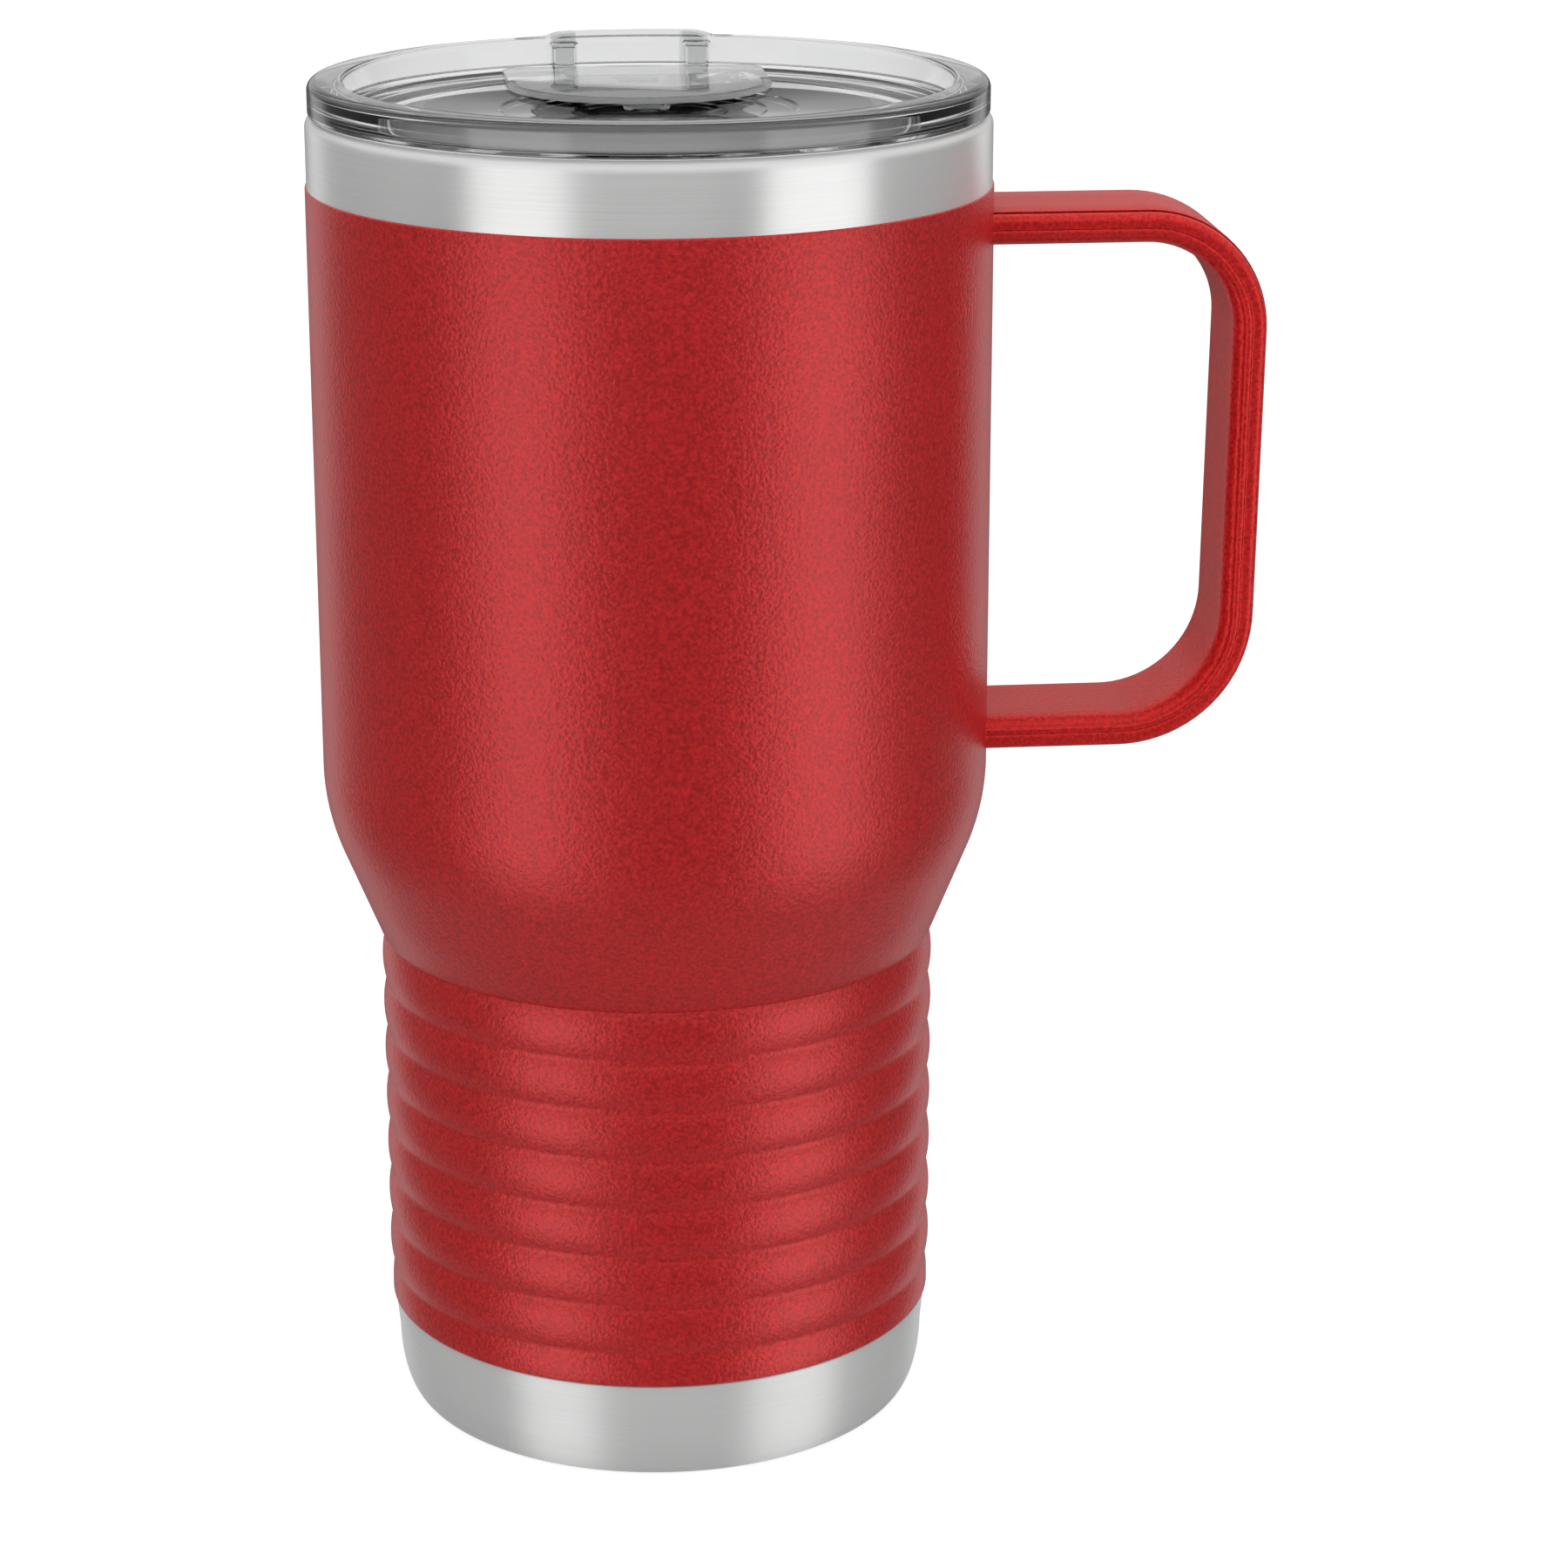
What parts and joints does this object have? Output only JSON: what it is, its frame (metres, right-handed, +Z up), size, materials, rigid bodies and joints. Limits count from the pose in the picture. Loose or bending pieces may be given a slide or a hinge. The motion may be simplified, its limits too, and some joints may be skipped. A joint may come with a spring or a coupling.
{
  "type": "insulated travel mug",
  "caption": "Double-walled steel travel mug with a tapered ribbed base, a side strap handle and a clear press-in lid with a sliding closure.",
  "frame": {"origin": "on the mug's axis, in the plane of its foot ring; the recessed centre of the base cover is 0.4 mm above it", "axes": "+Z up along the mug's axis, +X towards the handle, +Y towards the lid's drinking edge"},
  "size_m": [0.1221, 0.0872, 0.1779],
  "materials": {
    "red_coat": "satin powder coat with a fine orange-peel grain",
    "bare_steel": "fine brushing round the mug",
    "cover_steel": "matte spun steel",
    "seal_bead": "fused bead",
    "getter_metal": "dull sintered metal",
    "clear_plastic": "polished clear plastic",
    "slider_plastic": "polished clear plastic with a fluted edge",
    "silicone": "translucent silicone",
    "retainer_plastic": "moulded"
  },
  "bodies": {
    "mug": {"outer_shell": "red_coat", "inner_liner": "bare_steel", "outer_bottom": "bare_steel", "base_cover": "cover_steel", "port_seal": "seal_bead", "getter": "getter_metal", "handle_outer_strap": "red_coat", "handle_inner_strap": "red_coat"},
    "lid": {"lid_body": "clear_plastic", "lid_gasket": "silicone"},
    "closure": {"slider": "slider_plastic", "slider_seal": "silicone", "slider_retainer": "retainer_plastic"}
  },
  "joints": [
    {"name": "lid_lift", "type": "slide", "parent": "mug", "child": "lid", "axis": [0, 0, 1], "range_m": [0, 0.05]},
    {"name": "slider_slide", "type": "slide", "parent": "lid", "child": "closure", "axis": [0, -1, 0], "range_m": [0, 0.013]}
  ]
}
